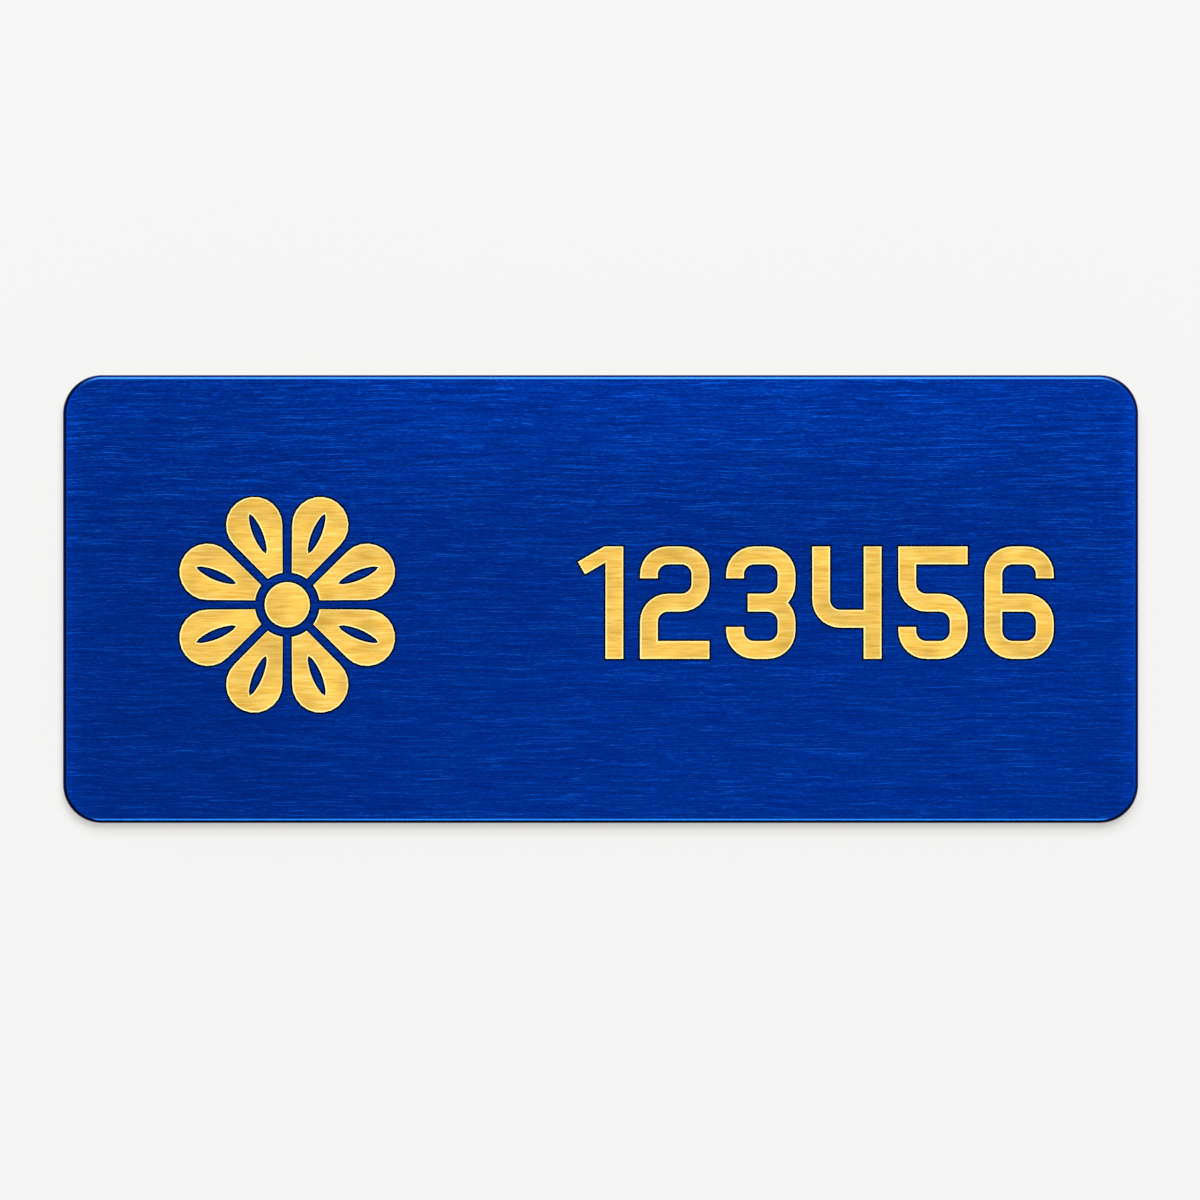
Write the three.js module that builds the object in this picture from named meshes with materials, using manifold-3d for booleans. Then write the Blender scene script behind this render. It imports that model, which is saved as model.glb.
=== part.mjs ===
// A name badge: a blue lacquered brass plate with gold marks let into its face and a bar pin on its back.
// It lies face up on the pin's two feet. Millimetres. +X runs along the badge, +Y is up as it is worn,
// +Z comes out of its face, and the origin is on the surface under the middle of the plate.
import * as THREE from "three";
import { mergeVertices } from "three/addons/utils/BufferGeometryUtils.js";
import Module from "manifold-3d";

// Plate: a 3 by 1 1/4 inch blank
const PLATE_LENGTH = 76.2;
const PLATE_WIDTH = 31.75;
const PLATE_THICKNESS = 1.5;
const PLATE_CORNER_RADIUS = 2.75;
const FRONT_EDGE_RADIUS = 0.35;
const BACK_EDGE_RADIUS = 0.15;

// Marks: each is a gold inlay that lies in a pocket a little below the plate's face
const ENGRAVED_DEPTH = 0.12;
const INLAY_THICKNESS = 0.3;
const INLAY_CLEARANCE = 0.03;

// Rosette, the mark on the left
const ROSETTE_RADIUS = 8.2;
const ROSETTE_MARGIN = 7.7; // from the plate's left edge
const ROSETTE_RAISE = -0.4; // from the plate's middle
const ROSETTE_GAP = 0.5; // between two petals, and round the boss
const PETAL_COUNT = 8;
const BOSS_RADIUS = 1.7;
const VEIN_LENGTH = 2.9;
const VEIN_WIDTH = 0.5;

// Number, the row of plain digits on the right
const DIGIT_HEIGHT = 8.15;
const DIGIT_WIDTH = 5.1;
const DIGIT_STROKE = 1.45;
const DIGIT_BEND = 1.35; // radius of a stroke's middle line at a round corner
const DIGIT_SPACE = 1;
const NUMBER_MARGIN = 5.9; // from the plate's right edge
const NUMBER_RAISE = -0.25; // from the plate's middle
const FLAG_LENGTH = 2.3; // of the digit one
const FLAG_STROKE = 1.2;
const FLAG_TILT_DEGREES = 30;
const OPEN_END_SHARE = 0.3; // of the height, from a curved stroke's open end to the digit's top or bottom
const CROSSBAR_SHARE = 0.36; // of the height, from the digit's bottom to the crossbar of the four
const INNER_END_SHARE = 0.3; // of the width, from the digit's left side to the middle stroke of the three

// Bar pin: strip, hinge ears with a knuckle, wire and hook, all soldered into one piece
const PIN_HEIGHT = 3.2; // from the strip's bonded face to the feet
const BOND_GAP = 0.1; // adhesive between strip and plate
const STRIP_LENGTH = 32;
const STRIP_WIDTH = 5;
const STRIP_THICKNESS = 0.5;
const SHEET_THICKNESS = 0.5; // of the ears and the hook
const FITTING_INSET = 3.2; // from the strip's end to the middle of the hinge or the hook
const EAR_LENGTH = 3.4;
const EAR_CORNER_RADIUS = 0.8;
const KNUCKLE_RADIUS = 0.95;
const KNUCKLE_CLEARANCE = 0.3; // from the knuckle to the feet's plane
const HOOK_LENGTH = 2.6;
const HOOK_WIDTH = 4;
const HOOK_LIP = 1; // height of the turned-up lip
const WIRE_RADIUS = 0.4;
const WIRE_BITE = 0.06; // how deep the wire is soldered into the hook's floor
const TIP_LENGTH = 3;
const TIP_RADIUS = 0.08;
const TIP_OVERHANG = 1.2; // past the hook

const CORNER_STEPS = 12;
const BACK_EDGE_STEPS = 2;
const FRONT_EDGE_STEPS = 4;
const BEND_STEPS = 7;
const ARC_STEPS = 7;
const ROUND_STEPS = 18;
const WIRE_SIDES = 16;
const MERGE_DISTANCE = 1e-5;
const OVERCUT = 1; // how far a cutter runs past the face that it cuts

const plateBack = PIN_HEIGHT + BOND_GAP;
const plateFace = plateBack + PLATE_THICKNESS;
const flagTilt = THREE.MathUtils.degToRad(FLAG_TILT_DEGREES);
const inlayTop = plateFace - ENGRAVED_DEPTH;
const inlayBottom = inlayTop - INLAY_THICKNESS;
const pocketFloor = inlayBottom - INLAY_CLEARANCE;

const wasm = await Module();
wasm.setup();

function solidFrom(geometry) {
  const bare = geometry.index ? geometry.toNonIndexed() : geometry.clone();
  bare.deleteAttribute("normal");
  bare.deleteAttribute("uv");
  const merged = mergeVertices(bare, MERGE_DISTANCE);
  return new wasm.Manifold(
    new wasm.Mesh({
      numProp: 3,
      vertProperties: merged.attributes.position.array,
      triVerts: new Uint32Array(merged.index.array),
    }),
  );
}

function geometryFrom(solid) {
  const mesh = solid.getMesh();
  const geometry = new THREE.BufferGeometry();
  geometry.setAttribute("position", new THREE.BufferAttribute(mesh.vertProperties, 3));
  geometry.setIndex(new THREE.BufferAttribute(mesh.triVerts, 1));
  const faceted = geometry.toNonIndexed();
  faceted.computeVertexNormals();
  return faceted;
}

function joined(solids) {
  return solids.reduce((whole, solid) => whole.add(solid));
}

// A flat shape raised between two heights
function prism(shape, bottom, top, steps = ARC_STEPS) {
  const geometry = new THREE.ExtrudeGeometry(shape, {
    depth: top - bottom,
    bevelEnabled: false,
    curveSegments: steps,
  });
  return solidFrom(geometry.translate(0, 0, bottom));
}

// One ring of a rectangle with round corners, counter-clockwise, drawn in by an inset
function roundedRing(length, width, radius, inset, height) {
  const bend = radius - inset;
  const ring = [];
  for (const [quarter, sx, sy] of [[0, 1, 1], [1, -1, 1], [2, -1, -1], [3, 1, -1]]) {
    const cx = sx * (length / 2 - radius);
    const cy = sy * (width / 2 - radius);
    for (let k = 0; k <= CORNER_STEPS; k++) {
      const angle = ((quarter + k / CORNER_STEPS) * Math.PI) / 2;
      ring.push(new THREE.Vector3(cx + bend * Math.cos(angle), cy + bend * Math.sin(angle), height));
    }
  }
  return ring;
}

// A closed body through rings of equal count, from the lowest up
function lofted(rings) {
  const count = rings[0].length;
  const corners = rings.flat();
  const triangles = [];
  for (let level = 0; level < rings.length - 1; level++) {
    for (let i = 0; i < count; i++) {
      const next = (i + 1) % count;
      const [a, b] = [level * count + i, level * count + next];
      triangles.push(a, b, b + count, a, b + count, a + count);
    }
  }
  const last = (rings.length - 1) * count;
  for (let i = 1; i < count - 1; i++) {
    triangles.push(0, i + 1, i, last, last + i, last + i + 1);
  }
  const geometry = new THREE.BufferGeometry().setFromPoints(corners);
  return solidFrom(geometry.setIndex(triangles));
}

// The bare plate, with a small round at its back edge and a larger one at its face
function plateBlank() {
  const rings = [];
  for (let k = 0; k <= BACK_EDGE_STEPS; k++) {
    const angle = ((k / BACK_EDGE_STEPS) * Math.PI) / 2;
    const inset = BACK_EDGE_RADIUS * (1 - Math.sin(angle));
    const height = plateBack + BACK_EDGE_RADIUS * (1 - Math.cos(angle));
    rings.push(roundedRing(PLATE_LENGTH, PLATE_WIDTH, PLATE_CORNER_RADIUS, inset, height));
  }
  for (let k = 0; k <= FRONT_EDGE_STEPS; k++) {
    const angle = ((k / FRONT_EDGE_STEPS) * Math.PI) / 2;
    const inset = FRONT_EDGE_RADIUS * (1 - Math.cos(angle));
    const height = plateFace - FRONT_EDGE_RADIUS * (1 - Math.sin(angle));
    rings.push(roundedRing(PLATE_LENGTH, PLATE_WIDTH, PLATE_CORNER_RADIUS, inset, height));
  }
  return lofted(rings);
}

// One petal on the +X axis round the origin: straight sides beside its neighbours, a round outer end
function petalShape(grow) {
  const halfSector = Math.PI / PETAL_COUNT;
  const halfGap = ROSETTE_GAP / 2 - grow;
  const endCentre = (ROSETTE_RADIUS + grow + halfGap) / (1 + Math.sin(halfSector));
  const endRadius = endCentre * Math.sin(halfSector) - halfGap;
  const innerRadius = BOSS_RADIUS + ROSETTE_GAP - grow;
  const innerAngle = halfSector - Math.asin(halfGap / innerRadius);
  const shape = new THREE.Shape();
  shape.absarc(0, 0, innerRadius, innerAngle, -innerAngle, true);
  shape.absarc(endCentre, 0, endRadius, -Math.PI / 2 - halfSector, Math.PI / 2 + halfSector, false);
  shape.closePath();
  return shape;
}

// The slim blue lens that parts a petal along its middle
function veinShape(grow) {
  const halfLength = VEIN_LENGTH / 2;
  const halfWidth = VEIN_WIDTH / 2;
  const radius = (halfLength ** 2 + halfWidth ** 2) / (2 * halfWidth);
  const offset = radius - halfWidth;
  const spread = Math.acos(offset / (radius + grow));
  const middle = (BOSS_RADIUS + ROSETTE_GAP + ROSETTE_RADIUS) / 2 + ROSETTE_GAP / 2;
  const shape = new THREE.Shape();
  shape.absarc(middle, -offset, radius + grow, Math.PI / 2 - spread, Math.PI / 2 + spread, false);
  shape.absarc(middle, offset, radius + grow, -Math.PI / 2 - spread, -Math.PI / 2 + spread, false);
  shape.closePath();
  return shape;
}

function petal(index, grow, bottom, top) {
  const leaf = prism(petalShape(grow), bottom, top);
  const vein = prism(veinShape(-grow), bottom - OVERCUT, top + OVERCUT);
  const turn = ((index + 0.5) / PETAL_COUNT) * 360;
  return leaf.subtract(vein).rotate([0, 0, turn]).translate(rosetteMiddle);
}

function boss(grow, bottom, top) {
  const shape = new THREE.Shape().absarc(0, 0, BOSS_RADIUS + grow, 0, 2 * Math.PI, false);
  return prism(shape, bottom, top, ROUND_STEPS).translate(rosetteMiddle);
}

const rosetteMiddle = [-PLATE_LENGTH / 2 + ROSETTE_MARGIN + ROSETTE_RADIUS, ROSETTE_RAISE, 0];

// A stroke of even width along corner points, as a flat shape with square ends.
// A corner is [x, y], or [x, y, "sharp"] where it is mitred and not bent.
function strokeShape(corners, width, grow) {
  const points = corners.map(([x, y]) => new THREE.Vector2(x, y));
  const runs = points.slice(1).map((point, i) => point.clone().sub(points[i]).normalize());
  const sideOf = (run) => new THREE.Vector2(-run.y, run.x);
  const samples = [{ at: points[0].clone().addScaledVector(runs[0], -grow), side: sideOf(runs[0]) }];
  for (let i = 1; i < points.length - 1; i++) {
    const [before, after] = [runs[i - 1], runs[i]];
    const turn = Math.atan2(before.cross(after), before.dot(after));
    if (corners[i][2] === "sharp") {
      const side = sideOf(before).add(sideOf(after)).normalize();
      samples.push({ at: points[i], side: side.divideScalar(Math.cos(turn / 2)) });
      continue;
    }
    const bend = DIGIT_BEND * Math.sign(turn);
    const reach = DIGIT_BEND * Math.tan(Math.abs(turn) / 2);
    const start = points[i].clone().addScaledVector(before, -reach);
    const centre = start.clone().addScaledVector(sideOf(before), bend);
    for (let k = 0; k <= BEND_STEPS; k++) {
      const side = sideOf(before).rotateAround(new THREE.Vector2(), (turn * k) / BEND_STEPS);
      samples.push({ at: centre.clone().addScaledVector(side, -bend), side });
    }
  }
  const end = points.at(-1).clone().addScaledVector(runs.at(-1), grow);
  samples.push({ at: end, side: sideOf(runs.at(-1)) });
  const half = width / 2 + grow;
  const oneSide = samples.map(({ at, side }) => at.clone().addScaledVector(side, half));
  const otherSide = samples.map(({ at, side }) => at.clone().addScaledVector(side, -half));
  return new THREE.Shape([...otherSide, ...oneSide.reverse()]);
}

// The strokes of each digit in its own box, whose lower left corner is at 0, 0
function digitStrokes(digit, width) {
  const half = DIGIT_STROKE / 2;
  const [left, right] = [half, width - half];
  const [bottom, middle, top] = [half, DIGIT_HEIGHT / 2, DIGIT_HEIGHT - half];
  const lowerEnd = DIGIT_HEIGHT * OPEN_END_SHARE;
  const upperEnd = DIGIT_HEIGHT - lowerEnd;
  const crossbar = DIGIT_HEIGHT * CROSSBAR_SHARE;
  const innerEnd = width * INNER_END_SHARE;
  const centre = width / 2;
  const stemLeft = right - half;
  const flagEnd = [
    stemLeft + (FLAG_STROKE / 2) * Math.sin(flagTilt),
    DIGIT_HEIGHT - (FLAG_STROKE / 2) * Math.cos(flagTilt),
  ];
  const flagStart = [
    flagEnd[0] - FLAG_LENGTH * Math.cos(flagTilt),
    flagEnd[1] - FLAG_LENGTH * Math.sin(flagTilt),
  ];
  const stroke = (corners, thickness = DIGIT_STROKE) => ({ corners, thickness });
  return {
    1: [stroke([[right, 0], [right, DIGIT_HEIGHT]]), stroke([flagStart, flagEnd], FLAG_STROKE)],
    2: [
      stroke([
        [left, upperEnd], [left, top], [right, top], [right, middle],
        [left, middle], [left, bottom, "sharp"], [width, bottom],
      ]),
    ],
    3: [
      stroke([[left, upperEnd], [left, top], [right, top], [right, middle], [innerEnd, middle]]),
      stroke([[innerEnd, middle], [right, middle], [right, bottom], [left, bottom], [left, lowerEnd]]),
    ],
    4: [
      stroke([[left, DIGIT_HEIGHT], [left, crossbar], [right, crossbar]]),
      stroke([[right, DIGIT_HEIGHT], [right, 0]]),
    ],
    5: [
      stroke([
        [width, top], [left, top, "sharp"], [left, middle], [right, middle],
        [right, bottom], [left, bottom], [left, lowerEnd],
      ]),
    ],
    6: [
      stroke([[right, upperEnd], [right, top], [left, top], [left, bottom], [centre, bottom]]),
      stroke([[centre - half, bottom], [right, bottom], [right, middle], [left, middle]]),
    ],
  }[digit];
}

function digitSolid({ digit, width, x }, grow, bottom, top) {
  const strokes = digitStrokes(digit, width).map(({ corners, thickness }) =>
    prism(strokeShape(corners, thickness, grow), bottom, top),
  );
  return joined(strokes).translate([x, NUMBER_RAISE - DIGIT_HEIGHT / 2, 0]);
}

// The row ends at its margin from the plate's right edge. The digit one is narrow, and the rest are alike.
function numberRow() {
  const narrow = DIGIT_STROKE + FLAG_LENGTH * Math.cos(flagTilt);
  const digits = [1, 2, 3, 4, 5, 6].map((digit) => ({ digit, width: digit === 1 ? narrow : DIGIT_WIDTH }));
  const length = digits.reduce((sum, { width }) => sum + width + DIGIT_SPACE, -DIGIT_SPACE);
  let x = PLATE_LENGTH / 2 - NUMBER_MARGIN - length;
  return digits.map((entry) => {
    const placed = { ...entry, x };
    x += entry.width + DIGIT_SPACE;
    return placed;
  });
}

// A flat shape drawn in X and Z, raised along Y between two places
function sidewaysPrism(shape, from, to, steps) {
  return prism(shape, -to, -from, steps).rotate([90, 0, 0]);
}

function strip() {
  const radius = STRIP_WIDTH / 2;
  const straight = STRIP_LENGTH / 2 - radius;
  const shape = new THREE.Shape();
  shape.absarc(straight, 0, radius, -Math.PI / 2, Math.PI / 2, false);
  shape.absarc(-straight, 0, radius, Math.PI / 2, (3 * Math.PI) / 2, false);
  shape.closePath();
  return prism(shape, PIN_HEIGHT - STRIP_THICKNESS, PIN_HEIGHT);
}

const fittingPlace = STRIP_LENGTH / 2 - FITTING_INSET;
const knuckleHeight = KNUCKLE_CLEARANCE + KNUCKLE_RADIUS;
const rootHeight = PIN_HEIGHT - STRIP_THICKNESS / 2; // fittings run up into the middle of the strip

function hinge() {
  const half = EAR_LENGTH / 2;
  const bend = EAR_CORNER_RADIUS;
  const outline = new THREE.Shape();
  outline.moveTo(half, rootHeight);
  outline.lineTo(-half, rootHeight);
  outline.absarc(-half + bend, bend, bend, Math.PI, (3 * Math.PI) / 2, false);
  outline.absarc(half - bend, bend, bend, (3 * Math.PI) / 2, 2 * Math.PI, false);
  outline.closePath();
  const earOuter = STRIP_WIDTH / 2;
  const earInner = earOuter - SHEET_THICKNESS;
  const round = new THREE.Shape().absarc(0, knuckleHeight, KNUCKLE_RADIUS, 0, 2 * Math.PI, false);
  return joined([
    sidewaysPrism(outline, earInner, earOuter),
    sidewaysPrism(outline, -earOuter, -earInner),
    sidewaysPrism(round, -earInner - SHEET_THICKNESS / 2, earInner + SHEET_THICKNESS / 2, ROUND_STEPS),
  ]).translate([-fittingPlace, 0, 0]);
}

// The hook is a bent strip: it comes down at the back, runs under the wire and turns up into a lip
function hook() {
  const [back, front] = [-HOOK_WIDTH / 2, HOOK_WIDTH / 2];
  const t = SHEET_THICKNESS;
  const outline = new THREE.Shape([
    [back, rootHeight], [back, 0], [front, 0], [front, HOOK_LIP],
    [front - t, HOOK_LIP], [front - t, t], [back + t, t], [back + t, rootHeight],
  ].map(([y, z]) => new THREE.Vector2(y, z)));
  return prism(outline, -HOOK_LENGTH / 2, HOOK_LENGTH / 2)
    .rotate([90, 0, 0])
    .rotate([0, 0, 90])
    .translate([fittingPlace, 0, 0]);
}

// The wire runs from the knuckle to its point past the hook, and rests on the hook's floor
function wire() {
  const floorHeight = SHEET_THICKNESS + WIRE_RADIUS - WIRE_BITE;
  const start = new THREE.Vector2(-fittingPlace, knuckleHeight);
  const over = new THREE.Vector2(fittingPlace, floorHeight);
  const run = over.clone().sub(start);
  const length = run.length() + HOOK_LENGTH / 2 + TIP_OVERHANG;
  const profile = [
    [0, 0], [WIRE_RADIUS, 0], [WIRE_RADIUS, length - TIP_LENGTH],
    [TIP_RADIUS, length - TIP_RADIUS], [0, length],
  ].map(([r, along]) => new THREE.Vector2(r, along));
  const turned = new THREE.LatheGeometry(profile, WIRE_SIDES);
  const slope = Math.atan2(run.y, run.x);
  turned.rotateZ(-Math.PI / 2);
  turned.rotateY(-slope);
  turned.translate(start.x, 0, start.y);
  return solidFrom(turned);
}

const BLUE_LACQUER = new THREE.MeshStandardMaterial({
  name: "blue_lacquer", color: 0x002d8c, roughness: 0.45, metalness: 1,
});
const GOLD_BRASS = new THREE.MeshStandardMaterial({
  name: "gold_brass", color: 0xf4ca60, roughness: 0.4, metalness: 1,
});
const NICKEL_STEEL = new THREE.MeshStandardMaterial({
  name: "nickel_steel", color: 0xc4c6c8, roughness: 0.3, metalness: 1,
});

const badge = new THREE.Group();
badge.name = "name_badge";

function addPiece(name, solid, material) {
  const mesh = new THREE.Mesh(geometryFrom(solid), material);
  mesh.name = name;
  badge.add(mesh);
}

const marks = [{ name: "rosette_boss", make: boss }];
for (let i = 0; i < PETAL_COUNT; i++) {
  marks.push({ name: `petal_${i + 1}`, make: (...sizes) => petal(i, ...sizes) });
}
for (const entry of numberRow()) {
  marks.push({ name: `digit_${entry.digit}`, make: (...sizes) => digitSolid(entry, ...sizes) });
}

const pockets = marks.map(({ make }) => make(INLAY_CLEARANCE, pocketFloor, plateFace + OVERCUT));
addPiece("plate", plateBlank().subtract(joined(pockets)), BLUE_LACQUER);
for (const { name, make } of marks) {
  addPiece(name, make(0, inlayBottom, inlayTop), GOLD_BRASS);
}
addPiece("pin_back", joined([strip(), hinge(), hook(), wire()]), NICKEL_STEEL);

export default badge;
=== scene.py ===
"""A blue lacquered brass name badge with gold marks, lying face up on its bar pin."""
import math

import bmesh
import bpy
from mathutils import Matrix, Vector


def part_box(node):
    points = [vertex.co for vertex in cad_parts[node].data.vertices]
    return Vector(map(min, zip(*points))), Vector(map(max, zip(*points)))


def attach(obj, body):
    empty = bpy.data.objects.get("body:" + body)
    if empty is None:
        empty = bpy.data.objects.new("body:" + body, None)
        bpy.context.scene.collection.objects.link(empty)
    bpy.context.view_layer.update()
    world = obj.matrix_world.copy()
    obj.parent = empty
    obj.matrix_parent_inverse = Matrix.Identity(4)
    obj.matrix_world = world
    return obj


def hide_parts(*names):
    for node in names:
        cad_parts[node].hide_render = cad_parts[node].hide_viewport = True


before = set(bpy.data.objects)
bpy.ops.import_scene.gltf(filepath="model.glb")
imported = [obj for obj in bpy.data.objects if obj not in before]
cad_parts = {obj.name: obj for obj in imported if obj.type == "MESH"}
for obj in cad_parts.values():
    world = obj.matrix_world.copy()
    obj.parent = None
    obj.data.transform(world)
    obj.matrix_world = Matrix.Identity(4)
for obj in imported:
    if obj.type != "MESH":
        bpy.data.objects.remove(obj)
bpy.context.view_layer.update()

MM = 0.001
BODY = "root"
MERGE_DISTANCE = 0.001 * MM
SMOOTH_ANGLE = math.radians(32)

# Upright part of a face's normal
LEVEL = 0.9999  # at least, on a true flat
CAD_FLAT = 0.99  # at least, on a flat of the CAD plate
CAD_WALL = 0.01  # at most, on a wall of its pockets

# Plate: its box is the frame's, and its rounds are those of the CAD plate
PLATE_LOW, PLATE_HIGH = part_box("plate")
CORNER_RADIUS = 2.75 * MM
CORNER_SEGMENTS = 24
FRONT_EDGE_RADIUS = 0.35 * MM
BACK_EDGE_RADIUS = 0.15 * MM
EDGE_SEGMENTS = 8

# Marks: a steep cut through the lacquer, then a narrow sloping rim round the floor
PETALS = sorted(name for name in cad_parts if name.startswith("petal_"))
DIGITS = sorted(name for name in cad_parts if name.startswith("digit_"))
CUT_WIDTH = 0.1 * MM
RIM_WIDTH = 0.1 * MM
RIM_DEPTH = 0.02 * MM

# Bar pin
PIN_LOW, PIN_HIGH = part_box("pin_back")
SHEET = 0.5 * MM
FITTING_INSET = 3.2 * MM
EAR_LENGTH = 3.4 * MM
EAR_CORNER_RADIUS = 0.8 * MM
EAR_INSET = 0.04 * MM  # from the strip's sides
KNUCKLE_RADIUS = 0.95 * MM
KNUCKLE_CLEARANCE = 0.3 * MM
HOOK_LENGTH = 2.6 * MM
HOOK_WIDTH = 4 * MM
HOOK_LIP = 1 * MM
HOOK_BEND = 0.1 * MM  # inside radius of its two bends
WIRE_RADIUS = 0.4 * MM
WIRE_BITE = 0.06 * MM
WIRE_SIDES = 32
WIRE_STEPS = 80
TIP_LENGTH = 3 * MM
TIP_SHARE = 0.2  # of the wire's radius, at its point
TIP_OVERHANG = 1.2 * MM
PIN_EDGE_ROUND = 0.08 * MM
PIN_EDGE_SEGMENTS = 3
ROUND_PROFILE = 0.5  # makes a bevel part of a circle
ARC_STEPS = 12

# Brushing. Real brush marks are too fine to show, so these are drawn about as thick as a pixel of the
# photograph, or thicker. Each set has a length, a thickness, a start in the noise and a share of the grain
MARK_TURN = (0.6, 0.9, 0.4)  # any turn that lies along no axis
LACQUER_LINE = 0.07 * MM
LACQUER_MARKS = (
    (2.2 * MM, LACQUER_LINE, 31, 1.0),
    (7 * MM, LACQUER_LINE, 0, 1.3),
    (0.35 * MM, LACQUER_LINE, 67, 1.05),
)
LACQUER_MARK_SPAN = (0.97, 2.62)
LINE_DRIFT = 0.4 * MM
DRIFT_SPACING = 3 * MM
BRASS_MARKS = (
    (1.2 * MM, 0.08 * MM, 47, 1.0),
    (2.2 * MM, 0.22 * MM, 11, 0.8),
)
BRASS_MARK_SPAN = (0.35, 1.45)

# Pale hairs in the lacquer's brushing: each set's length, start, and the noise from which it shows
HAIR_THICKNESS = 0.055 * MM
HAIRS = (
    (3.2 * MM, 53, 0.64),
    (1.2 * MM, 89, 0.7),
    (0.22 * MM, 113, 0.74),
)
HAIR_PEAK = 0.86
HAIR_LIFT = 0.6

# Clouds that make a surface a little uneven, and the part of their noise that most of it lies in
LACQUER_CLOUD = 22 * MM
BRASS_CLOUD = 2.5 * MM
NICKEL_CLOUD = 2 * MM
NOISE_LOW = 0.3
NOISE_HIGH = 0.7

# Colours from the darkest brush mark or cloud to the palest
LACQUER_TONES = ((0.0, "#001C64"), (0.33, "#002373"), (0.5, "#002A81"), (0.7, "#00328E"), (1.0, "#0A50B6"))
BACK_TONES = ((0.2, "#675838"), (0.9, "#7B6A46"))
BRASS_TONES = ((0.0, "#C4993C"), (0.4, "#D6AF4F"), (0.6, "#DBB759"), (1.0, "#E6C97A"))
NICKEL_TONES = ((NOISE_LOW, "#C2C2C1"), (NOISE_HIGH, "#D2D0CC"))

# Painted light on the marks' cut and rim, by slope from steep to nearly level: painted shade, nearly black,
# on the steep cut and a pale painted highlight on the rim
SLOPE_PAINTED_LIGHT = ((0.8, "#00030F"), (0.92, "#7A5210"), (0.96, "#FFEBA8"), (0.985, "#FFEBA8"))

# Lacquer over the face, by place from the badge's middle: its brushing is calmer toward the bottom, and
# painted shade makes it darker toward the left and painted light makes it lighter toward the top and close
# to the ends
CALM_TONE = "#002A80"
CALM_SHARE = 0.22
CALM_LOW = -2 * MM
CALM_HIGH = 8 * MM
LEFT_PAINTED_SHADE_START = -27 * MM
LEFT_PAINTED_SHADE_END = -8 * MM
TOP_PAINTED_LIGHT_START = 4 * MM
END_PAINTED_LIGHT_START = PLATE_HIGH.x - 1.5 * MM

# Painted light on the lacquer over the rounded edge, from its foot to its top, by how upright the surface
# is: painted shade, nearly black, low on the round, then a painted highlight, pale blue along the top and
# bottom edges and faint on the ends
TOP_EDGE_PAINTED_LIGHT = (
    (0.2, "#00094A"), (0.66, "#001284"), (0.78, "#0034AC"), (0.86, "#4299E8"), (0.955, "#4299E8"),
    (0.98, "#0C4AA8"),
)
BOTTOM_EDGE_PAINTED_LIGHT = ((0.2, "#00020A"), (0.74, "#000738"), (0.88, "#001E7A"), (0.94, "#146FD6"), (0.97, "#146FD6"))
END_EDGE_PAINTED_LIGHT = ((0.2, "#00020A"), (0.6, "#000733"), (0.78, "#00165E"), (0.88, "#00268A"), (0.96, "#004CC8"))

# How far toward +Y the side faces, from -1 to 1, where a long edge's painted light starts and where it is
# full
LONG_EDGE_PAINTED_LIGHT = (
    (TOP_EDGE_PAINTED_LIGHT, 0.73, 0.98),
    (BOTTOM_EDGE_PAINTED_LIGHT, -0.96, -0.995),
)

# How upright the surface is where each zone of the lacquer starts and where it is full, and its share there
ZONES = {
    "round": (0.999, 0.983, 1.0),
    "thin": (0.99, 0.966, 1.0),
    "steep": (0.92, 0.86, 1.0),
    "wall": (0.3, 0.05, 0.7),
    "bare": (-0.3, -0.6, 1.0),
}
COAT_SHARE = 0.14  # of a full clear coat, where the round is glossiest

# Photograph: the badge is seen from straight above
PHOTO_PIXELS = 1200
BADGE_PIXELS = 1075.2  # the badge's length in the photograph
BADGE_CENTRE = (600.6, 599.1)  # from the photograph's left and top
LENS = 400
SENSOR = 36
CLIP = (0.01, 10)

# Studio: each light has a tilt from the vertical toward +X and +Y in degrees, a size in metres, and the
# share of a white floor's brightness that it gives
LIGHT_DISTANCE = 1.0
LIGHTS = {
    "key": ((1.7, 4.1), (0.09, 0.09), 0.215),
    "key spill": ((-0.8, 8.5), (0.25, 0.18), 0.22),
}
CARDS = {
    "north card": ((0, 45), (0.45, 1.3), 0.2),
    "east card": ((55, 0), (1.4, 0.5), 0.09),
    "south card": ((0, -30), (0.45, 0.6), 0.22),
}
FLOOR_HALF = 3.0
BOARD_COLOUR = "#E6E6E6"
BOARD_GLOW = 0.5
ROOM_LIGHT = 0.1
BACKDROP = 0.58  # the wall behind, as bright as the far end of the board

# Sockets that share their name with others of the same node, by their place on it
WHOLE_A, WHOLE_B = 2, 3
COLOUR_A, COLOUR_B, COLOUR_MIX = 6, 7, 2


def srgb(code):
    """A hex colour as linear RGBA."""
    channels = [int(code[i:i + 2], 16) / 255 for i in (1, 3, 5)]
    linear = [c / 12.92 if c <= 0.04045 else ((c + 0.055) / 1.055) ** 2.4 for c in channels]
    return (*linear, 1.0)


def add(tree, kind, inputs=(), stops=(), **settings):
    """Adds a node with its settings and colour stops, and returns its outputs. Its inputs go by name or by
    place, and a list links several sockets to one."""
    node = tree.nodes.new(kind)
    for name, value in settings.items():
        setattr(node, name, value)
    for _ in stops[2:]:
        node.color_ramp.elements.new(1.0)
    for index, (position, code) in enumerate(stops):
        node.color_ramp.elements[index].position = position
        node.color_ramp.elements[index].color = srgb(code)
    for key, value in dict(inputs).items():
        for one in value if isinstance(value, list) else [value]:
            if isinstance(one, bpy.types.NodeSocket):
                tree.links.new(one, node.inputs[key])
            else:
                node.inputs[key].default_value = one
    return node.outputs


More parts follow.
